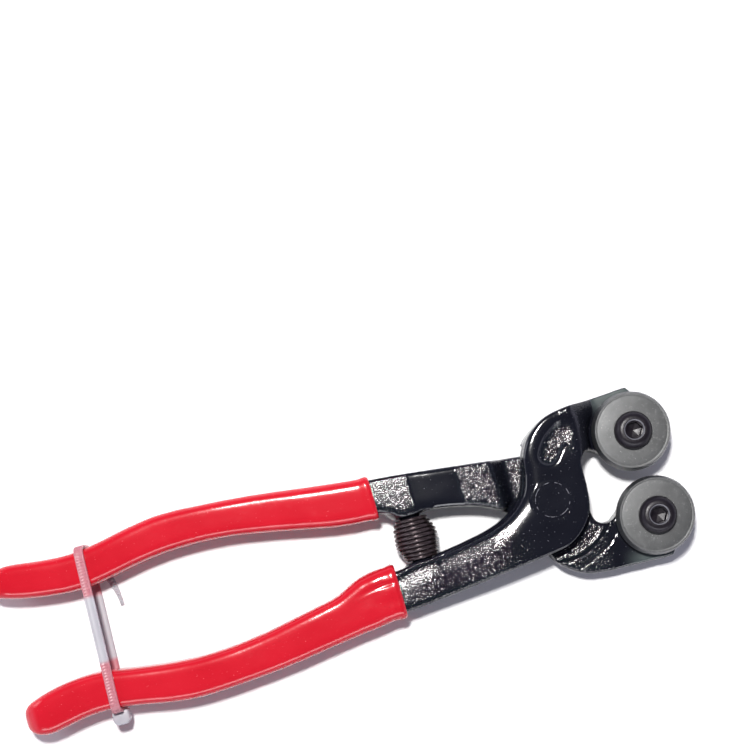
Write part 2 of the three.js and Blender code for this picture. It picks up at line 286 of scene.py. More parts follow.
def apply_modifiers(piece):
    graph = bpy.context.evaluated_depsgraph_get()
    mesh = bpy.data.meshes.new_from_object(piece.evaluated_get(graph))
    piece.modifiers.clear()
    piece.data = mesh
    return mesh


def places_of(mesh, side):
    """Each vertex's X, Y and height as the front half has them, and its real place, in mm."""
    at = points_of(mesh) / MM
    up = at[:, 2] if side > 0 else TOP - at[:, 2]
    return at[:, 0], at[:, 1] * side, up, at


def near_bores(x, y, side):
    """1 where a half fits round the rivet, and must keep its shape."""
    radius = np.hypot(x, y)
    bore = band(radius, RIVET_R - 0.4, RIVET_R + 0.7, 0.5)
    head_bore = band(radius, RIVET_HEAD_R - 0.35, RIVET_HEAD_R + 0.75, 0.5)
    return np.maximum(bore, head_bore) if side < 0 else bore


def soften_edges(mesh, side, inner_line):
    """Rounds the casting's edges: a little everywhere, more along the handle's inner edge, and
    most where the cheek falls to the jaw beside the wheel."""
    x, y, up, at = places_of(mesh, side)
    firm = 1 - 0.95 * near_bores(x, y, side)
    relax(mesh, firm, ROUNDS["all edges"])
    by_wheel = band(x, JAW_FROM, 21, 2) * step(up, 9.2, 9.8) * band(y, 11.5, 20, 2)
    relax(mesh, firm * by_wheel, ROUNDS["beside the wheel"])
    x, y, up, at = places_of(mesh, side)
    inside = from_line(x, y, inner_line)
    off_pad = 1 - 0.9 * band(x, *SPRING_PAD, 1) * band(up, *SPRING_PAD_HEIGHTS, 0.5)
    by_inner_edge = (1 - step(x, -3, 3)) * within(inside, 3, 1)
    by_inner_edge *= 1 - band(x, -14, 0, 1) * within(up, 9.1, 0.5)
    relax(mesh, firm * by_inner_edge * off_pad, ROUNDS["inner edge"])
    off_seat = 1 - step(x, JAW_FROM, 13) * step(up, 8, 8.8)
    relax(mesh, firm * off_seat * off_pad, ROUNDS["outer edges"])


def features_of(mesh, side, inner_line):
    """Masks of the half's raised, sunk, machined and rough places, by name. The machined wheel
    seats' lighter grey is partly thin worn paint and partly a painted reflection.
    """
    x, y, up, at = places_of(mesh, side)
    normal_up = points_of(mesh, "normals")[:, 2]
    radius = np.hypot(x, y)
    inside = from_line(x, y, inner_line)
    outer_face = step(normal_up * side, 0.3, 0.7)
    lap_face = step(-normal_up * side, 0.3, 0.7)
    crown = np.clip(1 - inside / CROWN_WIDTH, 0, 1) ** 2 * (1 - step(x, -5, 0))
    crown *= step(up, 11, 13) * (1 - 0.7 * step(y, 8, 15))
    cheek = outer_face * step(up, CHEEK_HEIGHT - 0.4, CHEEK_HEIGHT + 0.3)
    cheek *= step(x + 0.5 * y, -26, -10) * (1 - 0.8 * step(x, 6, 9) * step(y, 9, 12))
    seat = step(normal_up, 0.6, 0.9) * step(x, 12, 14)
    seat *= band(at[:, 2], SEAT_HEIGHT - 0.3, SEAT_HEIGHT + 0.3, 0.2)
    seat_wear_and_sheen = seat * step(y, 18, 23.5) * step(x, 14, 21)
    lap_floor = lap_face * within(radius, LAP_R, 0.8)
    patch = lap_face * band(x, *PATCH, 0.25) * step(inside, 0.2, 0.8)
    ramp = lap_face * band(x, *RAMP, 0.25) * (1 - step(y, 0, 4))
    jaw = step(x, JAW_FROM, 13)
    kidney = outer_face * (1 - step(up, CHEEK_HEIGHT, CHEEK_HEIGHT + 0.5))
    kidney *= within(from_line(x, y, KIDNEY), KIDNEY_R, 0.3)
    pad = ridge = streaks = 0 * x
    if side < 0:
        off_pad = from_line(x, y, NAME_PAD)
        pad = outer_face * within(off_pad, NAME_PAD_R, 0.2)
        ridge = outer_face * band(off_pad, NAME_PAD_R + 0.3, NAME_PAD_R + 0.9, 0.35)
        streaks = band(radius, 18.0, 18.3, 0.5) + 0.8 * band(radius, 21.4, 21.5, 0.4)
        streaks *= lap_face * step(x, 1, 5) * (1 - step(x, 15, 17)) * step(radius, 17.6, 18)

    smooth = np.clip(0.92 * cheek + patch + seat, 0, 1)
    sand = np.maximum(1 - smooth, kidney) * (1 - 0.3 * jaw * (1 - kidney)) + pad
    coarse = ramp + kidney + 0.8 * lap_floor + 0.8 * pad + streaks + 0.2 * jaw
    coarse = np.clip(coarse, 0, 1) * (1 - patch) * (1 - seat)
    return {"crown": crown, "seat_wear_and_sheen": seat_wear_and_sheen, "patch": patch, "pad": pad, "ridge": ridge,
            "streaks": streaks, "sand": np.clip(sand, 0, 1), "coarse": coarse}


def cast_half(name, node, side, material):
    """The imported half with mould-soft edges, its raised and sunk places, and its masks."""
    piece = bpy.data.objects.new(name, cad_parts[node].data.copy())
    bpy.context.scene.collection.objects.link(piece)
    skin = piece.modifiers.new("skin", "REMESH")
    skin.mode, skin.voxel_size = "VOXEL", VOXEL
    mesh = apply_modifiers(piece)

    inner_x = np.arange(-49.5, 11, 0.6)
    upper_part = 12 if side > 0 else TOP - 12
    inner_y = np.max([side * edge for edge in edges_at(node, inner_x, upper_part)], axis=0)
    inner_line = list(zip(inner_x, inner_y))
    soften_edges(mesh, side, inner_line)

    found = features_of(mesh, side, inner_line)
    x, y, up, at = places_of(mesh, side)
    push = GRAIN_DEPTH * lumps(at, 1.2, 1) * np.clip(found["sand"], 0.1, 1)
    push += WAVE_DEPTH * lumps(at, 6, 3) + COARSE_DEPTH * found["coarse"] * lumps(at, 0.8, 2)
    push -= PATCH_DEPTH * found["patch"] + CROWN_DROP * found["crown"]
    push += RIDGE_RISE * found["ridge"] - NAME_PAD_DEPTH * found["pad"]
    push += STREAK_RISE * found["streaks"] * np.clip(0.7 + 1.5 * lumps(at, 0.9, 4), 0, 1)
    push *= 1 - near_bores(x, y, side)
    at += points_of(mesh, "normals") * push[:, None]
    at[:, 2] = np.maximum(at[:, 2], 0)
    set_points(mesh, at * MM)
    for mask in ("sand", "coarse", "seat_wear_and_sheen"):
        add_mask(mesh, mask, found[mask])
    shade_smooth(mesh)
    mesh.materials.clear()
    mesh.materials.append(material)
    return piece


def new_group(name, inputs, outputs):
    """A shader node group with named sockets, and its two end nodes."""
    group = bpy.data.node_groups.new(name, "ShaderNodeTree")
    for key, value in inputs.items():
        kind = "NodeSocketColor" if isinstance(value, tuple) else "NodeSocketFloat"
        group.interface.new_socket(key, in_out="INPUT", socket_type=kind).default_value = value
    for key in outputs:
        group.interface.new_socket(key, in_out="OUTPUT", socket_type="NodeSocketFloat")
    return group, group.nodes.new("NodeGroupInput"), group.nodes.new("NodeGroupOutput")


def place_group(tree, group, inputs):
    """The outputs of the group, placed with these inputs."""
    node = tree.nodes.new("ShaderNodeGroup")
    node.node_tree = group
    fill(tree, node, inputs)
    return node.outputs


def maths(tree, operation, one, two=0.0, three=0.0):
    return add_node(tree, "Math", {0: one, 1: two, 2: three}, operation=operation).outputs[0]


def noise_in(tree, place, scale, detail=2.0, roughness=0.5):
    return add_node(tree, "TexNoise", {"Vector": place, "Scale": scale, "Detail": detail,
                                       "Roughness": roughness}).outputs["Fac"]


def rise(tree, value, low, high):
    """0 below low, 1 above high."""
    return add_node(tree, "MapRange", {"Value": value, "From Min": low, "From Max": high},
                    interpolation_type="SMOOTHSTEP").outputs[0]


def mix(tree, share, one, two):
    node = add_node(tree, "Mix", data_type="RGBA")
    fill(tree, node, {0: share, 6: one, 7: two})
    return node.outputs[2]


def between(tree, share, low, high):
    """Low where share is 0, high where it is 1."""
    return maths(tree, "MULTIPLY_ADD", share, high - low, low)


def set_finish(tree, shader, colour, roughness, height, depth):
    """Gives the shader a colour, a roughness, and a bump that is depth deep."""
    bump = add_node(tree, "Bump", {"Height": height, "Distance": depth})
    tree.links.new(colour, shader.inputs["Base Color"])
    tree.links.new(roughness, shader.inputs["Roughness"])
    tree.links.new(bump.outputs[0], shader.inputs["Normal"])


# Sand grain: the pebbly, pitted height that a sand mould leaves, finer or coarser by mask.
sand_grain, given, made = new_group("sand_grain", {"Sand": 1.0, "Coarse": 0.0}, ["Height"])
place = add_node(sand_grain, "TexCoord").outputs["Object"]
fine = noise_in(sand_grain, place, 2700, 0.8, 0.4)
fine = maths(sand_grain, "MULTIPLY", fine, given.outputs["Sand"])
rough = noise_in(sand_grain, place, 1800, 1.0)
rough = maths(sand_grain, "MULTIPLY", rough, given.outputs["Coarse"])
pits = rise(sand_grain, noise_in(sand_grain, place, 1300, 0.0), 0.70, 0.78)
pits = maths(sand_grain, "MULTIPLY", pits, given.outputs["Sand"])
ROUGH_SHARE, PIT_SHARE = 1.6, -0.35
height = maths(sand_grain, "MULTIPLY_ADD", rough, ROUGH_SHARE, fine)
height = maths(sand_grain, "MULTIPLY_ADD", pits, PIT_SHARE, height)
sand_grain.links.new(height, made.inputs["Height"])

# Handling marks: soft clouds where a surface was touched, and specks of dust.
handling_marks, given, made = new_group("handling_marks", {"Cloud Size": 100.0, "Dust": 0.5},
                                        ["Clouds", "Dust"])
place = add_node(handling_marks, "TexCoord").outputs["Object"]
clouds = noise_in(handling_marks, place, given.outputs["Cloud Size"], 4.0)
specks = rise(handling_marks, noise_in(handling_marks, place, 2600, 0.0), 0.80, 0.86)
handling_marks.links.new(clouds, made.inputs["Clouds"])
handling_marks.links.new(maths(handling_marks, "MULTIPLY", specks, given.outputs["Dust"]),
                         made.inputs["Dust"])

PAINT = (0.0045, 0.0048, 0.0080, 1)
PAINT_THIN = (0.0085, 0.0095, 0.0150, 1)
# The wheel seats' grey: partly thin worn paint, partly a painted reflection of the pale room.
SEAT_WEAR_AND_SHEEN_GREY = (0.070, 0.086, 0.085, 1)
DUST = (0.16, 0.16, 0.18, 1)
GRAIN_BUMP = 0.092 * MM
black_paint, tree, shader = new_material("gloss_black_paint")
mask = {key: add_node(tree, "Attribute", attribute_name=key).outputs["Fac"]
        for key in ("sand", "coarse", "seat_wear_and_sheen")}
grain = place_group(tree, sand_grain, {"Sand": mask["sand"], "Coarse": mask["coarse"]})
marks = place_group(tree, handling_marks, {"Cloud Size": 90.0, "Dust": 0.6})
colour = mix(tree, marks["Clouds"], PAINT, PAINT_THIN)
colour = mix(tree, marks["Dust"], colour, DUST)
# Painted reflection: the wheel seats turn lighter grey, partly for their thin worn paint.
colour = mix(tree, mask["seat_wear_and_sheen"], colour, SEAT_WEAR_AND_SHEEN_GREY)
roughness = between(tree, mask["sand"], 0.07, 0.10)
for more, share in ((marks["Clouds"], 0.07), (mask["seat_wear_and_sheen"], 0.16)):
    roughness = maths(tree, "MULTIPLY_ADD", more, share, roughness)
set_finish(tree, shader, colour, roughness, grain["Height"], GRAIN_BUMP)

for name, side, body in (("back_half", -1, "back_handle"), ("front_half", 1, "front_handle")):
    half = cast_half(name + "_casting", name, side, black_paint)
    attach(half, body)
    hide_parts(name)


# ---- The pivot rivet ---------------------------------------------------------------------
# A headed steel rivet, set flush through both halves before they were painted together.
# The paint cracked and wore off in a thin ring where the joint moves.
RIVET_HEAD_H = 2.5
GROOVE_R = 4.74
WORN_BUMP = 0.006 * MM
BARE_STEEL = (0.16, 0.16, 0.18, 1)


def crisp(piece, degrees=28):
    """Keeps faces that meet at more than this angle from shading into each other."""
    piece.data.set_sharp_from_angle(angle=math.radians(degrees))
    return piece


def lathe(name, profile, material, sides=96):
    """A round piece about the pivot, from a profile of (radius, height) in mm, axis to axis."""
    verts, faces = [], []
    angles = np.linspace(0, 2 * math.pi, sides, endpoint=False)
    for radius, height in profile[1:-1]:
        verts += [(radius * MM * math.cos(a), radius * MM * math.sin(a), height * MM) for a in angles]
    rings = len(profile) - 2
    for ring in range(rings - 1):
        for i in range(sides):
            j = (i + 1) % sides
            low = ring * sides
            faces.append((low + i, low + j, low + sides + j, low + sides + i))
    for end, first, last in ((0, 0, True), (-1, (rings - 1) * sides, False)):
        verts.append((0, 0, profile[end][1] * MM))
        centre = len(verts) - 1
        for i in range(sides):
            pair = (first + i, first + (i + 1) % sides)
            faces.append((centre, *(pair[::-1] if last else pair)))
    return new_piece(name, verts, faces, material)


worn_paint, tree, shader = new_material("worn_black_paint")
place = add_node(tree, "TexCoord").outputs["Object"]
across = add_node(tree, "VectorMath", {0: place, 1: (1, 1, 0)}, operation="MULTIPLY")
radius = add_node(tree, "VectorMath", {0: across.outputs[0]}, operation="LENGTH").outputs["Value"]
bare = 0.0
for edge, width in ((GROOVE_R, 0.14), (RIVET_HEAD_R - 0.02, 0.16)):
    off = maths(tree, "ABSOLUTE", maths(tree, "SUBTRACT", radius, edge * MM))
    bare = maths(tree, "MAXIMUM", bare, rise(tree, off, width * MM, 0.4 * width * MM))
broken = rise(tree, noise_in(tree, place, 700, 3.0), 0.44, 0.56)
bare = maths(tree, "MULTIPLY", bare, broken)
marks = place_group(tree, handling_marks, {"Cloud Size": 160.0, "Dust": 0.8})
colour = mix(tree, marks["Clouds"], PAINT, PAINT_THIN)
colour = mix(tree, marks["Dust"], colour, DUST)
colour = mix(tree, bare, colour, BARE_STEEL)
set_finish(tree, shader, colour, between(tree, marks["Clouds"], 0.07, 0.17),
           noise_in(tree, place, 1600, 1.0), WORN_BUMP)

made_head = [
    (0, 0.03), (3.0, 0.02), (RIVET_HEAD_R - 0.10, 0.01), (RIVET_HEAD_R + 0.02, 0.07),
    (RIVET_HEAD_R + 0.14, 0.01), (RIVET_HEAD_R + 0.50, 0.01), (RIVET_HEAD_R + 0.57, 0.06),
    (RIVET_HEAD_R + 0.50, 0.20), (RIVET_HEAD_R, 0.8), (RIVET_HEAD_R, RIVET_HEAD_H)]
shank_and_set_end = [
    (RIVET_R, RIVET_HEAD_H), (RIVET_R, TOP - 0.6), (RIVET_R + 0.55, TOP - 0.2),
    (RIVET_R + 0.70, TOP - 0.02), (RIVET_R + 0.50, TOP + 0.03), (GROOVE_R + 0.12, TOP + 0.05),
    (GROOVE_R, TOP + 0.01), (GROOVE_R - 0.12, TOP + 0.05), (3.0, TOP + 0.05), (0, TOP + 0.05)]
rivet = lathe("set_rivet", made_head + shank_and_set_end, worn_paint)
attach(crisp(rivet, 12), "back_handle")
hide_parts("pivot_rivet")


# ---- The return spring -------------------------------------------------------------------
# One length of oil-black spring wire, coiled into a barrel and stood on the two round pads.
# Its last coil is cut long, and the cut end sticks out past the barrel.
WIRE = 0.56
COILS = 9.6
STEPS_PER_COIL = 40
BARREL_END, BARREL_MIDDLE = 3.8, 5.6
BARREL_FULLNESS = 0.9
FIRST_TURN = 0.6
CLOSED_END, CLOSED_RISE = 0.06, 0.035
WOBBLE, WOBBLES = 0.25, 2.1
TAIL_STEP = 0.7
WIRE_BUMP = 0.02 * MM
WIRE_DEEP, WIRE_PALE = (0.022, 0.015, 0.017, 1), (0.070, 0.050, 0.053, 1)
low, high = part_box("return_spring")
spring_at = (low + high) / 2 / MM
spring_from, spring_to = low.y / MM + WIRE, high.y / MM - WIRE


def wire_point(t):
    """The spring's centre line in mm, from the front half's pad to the back half's."""
    angle = 2 * math.pi * COILS * t + FIRST_TURN
    swell = math.sin(math.pi * t) ** BARREL_FULLNESS
    radius = BARREL_END + (BARREL_MIDDLE - BARREL_END) * swell
    along = np.interp(t, (0, CLOSED_END, 1 - CLOSED_END, 1), (0, CLOSED_RISE, 1 - CLOSED_RISE, 1))
    lean = WOBBLE * math.sin(WOBBLES * 2 * math.pi * t)
    return Vector((spring_at.x + radius * math.cos(angle) + lean * 0.6,
                   spring_from + (spring_to - spring_from) * along,
                   spring_at.z + radius * math.sin(angle)))


def sweep(name, line, radius, material, sides=12):
    """A round bar of that radius along a line of points, all in mm, with rounded ends."""
    verts, faces = [], []
    side_way = Vector((0, 1, 0))
    count = len(line)
    for i, point in enumerate(line):
        along = (line[min(i + 1, count - 1)] - line[max(i - 1, 0)]).normalized()
        side_way = (side_way - along * side_way.dot(along)).normalized()
        third = along.cross(side_way)
        size = radius * (0.55 if i in (0, count - 1) else 1.0)
        for angle in np.linspace(0, 2 * math.pi, sides, endpoint=False):
            away = math.cos(angle) * side_way + math.sin(angle) * third
            verts.append((point + size * away) * MM)
    for i in range(count - 1):
        for k in range(sides):
            j = (k + 1) % sides
            faces.append((i * sides + k, i * sides + j, (i + 1) * sides + j, (i + 1) * sides + k))
    faces.append(tuple(range(sides))[::-1])
    faces.append(tuple((count - 1) * sides + k for k in range(sides)))
    return new_piece(name, verts, faces, material)


spring_black, tree, shader = new_material("oil_black_wire", metallic=0.55)
marks = place_group(tree, handling_marks, {"Cloud Size": 420.0, "Dust": 0.3})
colour = mix(tree, marks["Clouds"], WIRE_DEEP, WIRE_PALE)
place = add_node(tree, "TexCoord").outputs["Object"]
set_finish(tree, shader, colour, between(tree, marks["Clouds"], 0.16, 0.36),
           noise_in(tree, place, 2600, 3.0), WIRE_BUMP)

line = [wire_point(t) for t in np.linspace(0, 1, int(COILS * STEPS_PER_COIL))]
out = (line[0] - line[2]).normalized()
tail = [line[0] + out * (TAIL_STEP * k) + Vector((0, 0.03 * k, 0)) for k in (3, 2, 1)]
spring = sweep("barrel_spring", tail + line, WIRE, spring_black)
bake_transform(spring)
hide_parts("return_spring")


# ---- The two grips -----------------------------------------------------------------------
# Red vinyl sleeves, dipped on the tangs so that they are thick, soft-edged and a bit wavy.
# Each ends in a rolled lip, and the front one bunched up and creased as it was pushed home.
GRIP_STEP = 0.9
GRIP_SQUARE = 5.0
LEAN = {1: 0.03, -1: 0.065}
TIP_LENGTH = 7
LIP_BACK, LIP_RISE = 1.2, 0.38
SLUMP = 0.18
MOUTH_DEPTH, MOUTH_GAP = 2.6, 0.06
TANG_END, TANG_HALF_Y, TANG_HALF_Z = -152.3, 4.5, 4.7
BUNCH_LENGTH, CREASE_DEPTH = 15, 0.34
HANDLE_Z = 8
VINYL_BUMP = 0.014 * MM
VINYL_DEEP, VINYL_PALE = (0.47, 0.0060, 0.015, 1), (0.60, 0.0130, 0.027, 1)
VINYL_DUST = (0.75, 0.12, 0.14, 1)
grip_low, grip_high = (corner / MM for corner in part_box("front_grip"))
GRIP_MIDDLE_Z = (grip_low.z + grip_high.z) / 2
GRIP_HALF_Z = (grip_high.z - grip_low.z) / 2


def loop_at(x, middle_y, half_y, middle_z, half_z, square, lean=0.0, sides=88):
    """A ring across the tool, rounder or squarer, as evenly spaced points in mm. Its upper face
    leans by that slope."""
    angle = np.linspace(0, 2 * math.pi, 721)
    c, s = np.cos(angle), np.sin(angle)
    y = half_y * np.sign(c) * np.abs(c) ** (2 / square)
    z = half_z * np.sign(s) * np.abs(s) ** (2 / square)
    z += lean * (y - half_y) * step(z, 0, 0.8 * half_z)
    run = np.concatenate([[0], np.cumsum(np.hypot(np.diff(y), np.diff(z)))])
    steps = np.linspace(0, run[-1], sides, endpoint=False)
    return [(x, middle_y + a, middle_z + b)
            for a, b in zip(np.interp(steps, run, y), np.interp(steps, run, z))]


def join_rings(name, rings, material):
    """A closed skin over a row of rings with equal counts, capped at both ends."""
    sides = len(rings[0])
    verts = [p for ring in rings for p in ring]
    faces = [(i * sides + k, i * sides + (k + 1) % sides, (i + 1) * sides + (k + 1) % sides,
              (i + 1) * sides + k) for i in range(len(rings) - 1) for k in range(sides)]
    faces.append(tuple(range(sides))[::-1])
    faces.append(tuple(len(verts) - sides + k for k in range(sides)))
    return new_piece(name, np.array(verts) * MM, faces, material)


grip_shapes = {}


def outer_rings(node, side):
    """The sleeve's outside from its round tip to its rolled lip."""
    low, high = (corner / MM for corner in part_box(node))
    near_tip = low.x + 0.04 + TIP_LENGTH * (1 - np.cos(np.linspace(0, math.pi / 2, 14)))
    xs = np.concatenate([near_tip, np.arange(near_tip[-1] + GRIP_STEP, high.x - 0.3, GRIP_STEP)])
    one, two = edges_at(node, xs, GRIP_MIDDLE_Z)
    spread = np.clip(0.3 * (xs - low.x), 0.05, 1.6)
    weight = np.exp(-0.5 * ((xs[:, None] - xs[None, :]) / spread[:, None]) ** 2)
    weight /= weight.sum(1)[:, None]
    one, two = weight @ one, weight @ two
    middle_y, half_y = (one + two) / 2, np.abs(two - one) / 2
    rounding = np.sqrt(1 - (1 - np.clip((xs - low.x) / 7.5, 0, 1)) ** 2)
    half_z = GRIP_HALF_Z * rounding * (1 + 0.012 * np.sin(xs / 4.1 + side))
    grip_shapes[side] = (xs, middle_y, half_y)
    rings = []
    for x, my, hy, hz in zip(xs, middle_y, half_y, half_z):
        lip = LIP_RISE * math.exp(-((x - (high.x - LIP_BACK)) / 1.0) ** 2)
        slump = SLUMP * math.sin(x / 5.3 + 2 * side) * min(1, (x - low.x) / 20)
        rings.append(loop_at(x, my + 0.3 * slump, hy - 0.1 + lip, GRIP_MIDDLE_Z,
                             min(hz + 0.6 * lip, GRIP_HALF_Z + 0.3), GRIP_SQUARE, LEAN[side]))
    for back, shrink, square in ((0.16, 0.05, 5.0), (0.05, 0.4, 5.1), (0.0, 0.9, 5.4)):
        rings.append(loop_at(high.x - back, middle_y[-1], half_y[-1] - shrink, GRIP_MIDDLE_Z,
                             GRIP_HALF_Z - 0.7 * shrink, square, LEAN[side]))
    return rings


def inner_rings(mouth, cast, side):
    """The sleeve's inside, from its mouth, close round the handle, to the tang's end."""
    xs, middle_y, half_y = grip_shapes[side]
    handle = edges_at(cast, [mouth - 1, mouth - MOUTH_DEPTH], HANDLE_Z)
    rings = []
    for x, a, b in zip((mouth - 0.15, mouth - MOUTH_DEPTH), *handle):
        rings.append(loop_at(x, (a + b) / 2, abs(b - a) / 2 + MOUTH_GAP, HANDLE_Z, 5.05, 7))
    for x in np.arange(mouth - MOUTH_DEPTH - 0.8, TANG_END, -3.0):
        rings.append(loop_at(x, np.interp(x, xs, middle_y), TANG_HALF_Y, HANDLE_Z, TANG_HALF_Z, 5))
    return rings


def dipped_grip(name, side, material):
    """One sleeve, with the slow waves of dipped vinyl. The front one is creased at its mouth."""
    node, cast = (("front_grip", "front_half") if side > 0 else ("back_grip", "back_half"))
    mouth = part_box(node)[1].x / MM
    grip = join_rings(name, outer_rings(node, side) + inner_rings(mouth, cast, side), material)
    xs, middle_y, half_y = grip_shapes[side]
    at = points_of(grip.data) / MM
    normal = points_of(grip.data, "normals")
    outside = step(normal[:, 2], -0.2, 0.3) * (1 - step(at[:, 0], mouth - 1, mouth - 0.3))
    push = 0.06 * lumps(at * (0.6, 1, 1), 7, 5 + side) + 0.012 * lumps(at, 2.2, 9)
    if side > 0:
        my = np.interp(at[:, 0], xs, middle_y)
        hy = np.interp(at[:, 0], xs, half_y)
        bunched = step(at[:, 0], mouth - BUNCH_LENGTH, mouth - 4)
        crease = np.exp(-((at[:, 1] - my - (0.42 - 0.05 * bunched) * hy) / 0.38) ** 2)
        push += bunched * outside * (0.22 * lumps(at, 3.4, 6) - CREASE_DEPTH * crease)
    push *= np.clip((mouth - at[:, 0]) / 0.4, 0, 1)
    set_points(grip.data, (at + normal * push[:, None]) * MM)
    return grip


red_vinyl, tree, shader = new_material("dipped_red_vinyl", coat_weight=0.15, coat_roughness=0.10)
marks = place_group(tree, handling_marks, {"Cloud Size": 75.0, "Dust": 0.7})
colour = mix(tree, marks["Clouds"], VINYL_DEEP, VINYL_PALE)
colour = mix(tree, marks["Dust"], colour, VINYL_DUST)
place = add_node(tree, "TexCoord").outputs["Object"]
scuffs = rise(tree, noise_in(tree, place, 240, 5.0, 0.7), 0.55, 0.75)
shader.inputs["Specular IOR Level"].default_value = 0.36
skin = noise_in(tree, place, 1400)
skin = maths(tree, "MULTIPLY_ADD", noise_in(tree, place, 260, 2.0), 2.0, skin)
set_finish(tree, shader, colour, between(tree, scuffs, 0.18, 0.25), skin, VINYL_BUMP)

for name, side, body in (("back_grip", -1, "back_handle"), ("front_grip", 1, "front_handle")):
    grip = dipped_grip(name + "_sleeve", side, red_vinyl)
    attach(grip, body)
    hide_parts(name)


# ---- The cutting wheels ------------------------------------------------------------------
# Two sintered carbide disks, ground flat on both faces and bevelled to a blunt edge.
# They stay put while cutting, and are turned on their screws to bring up a fresh edge.
BORE = 3.3
WHEEL_R, WHEEL_FACE_R = 11.0, 10.3
EDGE_LAND = 0.4
MARK_R, MARK_HALF, MARK_DEPTH = 9.66, 0.09, 0.04
NICK_DEPTH = 0.5
CARBIDE_BUMP = 0.012 * MM
CARBIDE_DEEP, CARBIDE_PALE = (0.058, 0.060, 0.060, 1), (0.116, 0.118, 0.119, 1)
# The bevel's darker colour is painted shade.
CARBIDE_MOTTLE, CARBIDE_BEVEL_SHADE = (0.15, 0.153, 0.153, 1), (0.055, 0.058, 0.062, 1)
CARBIDE_DUST = (0.6, 0.6, 0.6, 1)


def broken_corners(profile, size=0.07):
    """The same closed profile with each corner cut back a little, so that it shades cleanly."""
    points = [np.array(p, float) for p in profile]
    cut = []
    for i, p in enumerate(points):
        for other in (points[i - 1], points[(i + 1) % len(points)]):
            way = other - p
            length = np.linalg.norm(way)
            cut.append(tuple(p + way / length * min(size, 0.3 * length)))
    return cut


def ring_lathe(name, profile, material, at, sides=160):
    """A round piece with a bore, from a closed profile of (radius, height) in mm."""
    angles = np.linspace(0, 2 * math.pi, sides, endpoint=False)
    verts = [(at.x + r * MM * math.cos(a), at.y + r * MM * math.sin(a), z * MM)
             for r, z in profile for a in angles]
    count = len(profile)
    faces = []
    for i in range(count):
        for k in range(sides):
            one, two = i * sides, (i + 1) % count * sides
            j = (k + 1) % sides
            faces.append((one + k, one + j, two + j, two + k))
    return new_piece(name, verts, faces, material)


wheel_grey, tree, shader = new_material("ground_carbide", metallic=0.6)
place = add_node(tree, "TexCoord").outputs["Object"]
out_from_axis = add_node(tree, "Attribute", attribute_name="from_axis").outputs["Fac"]
marks = place_group(tree, handling_marks, {"Cloud Size": 300.0, "Dust": 0.5})
rings = noise_in(tree, add_node(tree, "CombineXYZ", {0: out_from_axis}).outputs[0], 14.0, 3.0)
mottle = noise_in(tree, place, 900, 4.0, 0.7)
on_bevel = rise(tree, out_from_axis, WHEEL_FACE_R + 0.02, WHEEL_FACE_R + 0.20)
colour = mix(tree, marks["Clouds"], CARBIDE_DEEP, CARBIDE_PALE)
colour = mix(tree, rise(tree, mottle, 0.55, 0.75), colour, CARBIDE_MOTTLE)
# Painted shade: the bevel is coloured darker than the ground faces.
colour = mix(tree, on_bevel, colour, CARBIDE_BEVEL_SHADE)
colour = mix(tree, marks["Dust"], colour, CARBIDE_DUST)
set_finish(tree, shader, colour, between(tree, mottle, 0.33, 0.53),
           maths(tree, "MULTIPLY_ADD", rings, 1.2, mottle), CARBIDE_BUMP)

for side, name, body in ((1, "upper_wheel", "upper_cutter"), (-1, "lower_wheel", "lower_cutter")):
    low, high = (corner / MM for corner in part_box(name))
    edge_z = (low.z + high.z) / 2
    profile = [(BORE, low.z), (WHEEL_FACE_R, low.z), (WHEEL_R, edge_z - EDGE_LAND / 2),
               (WHEEL_R, edge_z + EDGE_LAND / 2), (WHEEL_FACE_R, high.z),
               (MARK_R + MARK_HALF, high.z), (MARK_R, high.z - MARK_DEPTH),
               (MARK_R - MARK_HALF, high.z), (BORE, high.z)]
    wheel = ring_lathe(name + "_disk", broken_corners(profile), wheel_grey, wheels[side])
    at = points_of(wheel.data) / MM
    axis = wheels[side] / MM
    from_axis = np.hypot(at[:, 0] - axis.x, at[:, 1] - axis.y)
    nick = np.clip(lumps(at, 0.9, 3 + side) - 0.38, 0, 1) * step(from_axis, 10.2, 10.9)
    outward = (at[:, :2] - np.array(axis.xy)) / from_axis[:, None]
    at[:, :2] -= outward * (NICK_DEPTH * nick)[:, None]
    set_points(wheel.data, at * MM)
    layer = wheel.data.attributes.new("from_axis", "FLOAT", "POINT")
    layer.data.foreach_set("value", from_axis.astype(np.float32))
    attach(crisp(wheel), body)
    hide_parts(name)


# ---- The wheel screws --------------------------------------------------------------------
# Black-oxided steel button-head screws, one through each wheel into its jaw. The socket is a
# hexagon, and a thin ring at its rim is coloured lighter grey as a painted highlight.
SHANK, HEAD_R, HEAD_H = 2.9, 5.25, 3.2
CROWN_R, SOCKET_HALF, SOCKET_DEPTH = 2.95, 2.0, 2.2
SIDES = 96
OXIDE_BUMP = 0.02 * MM
OXIDE_DEEP, OXIDE_PALE = (0.0060, 0.0045, 0.0070, 1), (0.0130, 0.0100, 0.0150, 1)
RIM_HIGHLIGHT_GREY = (0.13, 0.13, 0.145, 1)


def screw_ring(size, height, hexagon, axis):
    """A ring of points about the screw's axis, in mm, round or six-sided."""
    ring = []
    for angle in np.linspace(0, 2 * math.pi, SIDES, endpoint=False):
        r = size / math.cos(angle % (math.pi / 3) - math.pi / 6) if hexagon else size
        ring.append((axis.x + r * math.cos(angle), axis.y + r * math.sin(angle), height))
    return ring


screw_black, tree, shader = new_material("black_oxide", metallic=0.1)
shader.inputs["Specular IOR Level"].default_value = 0.28
marks = place_group(tree, handling_marks, {"Cloud Size": 350.0, "Dust": 0.35})
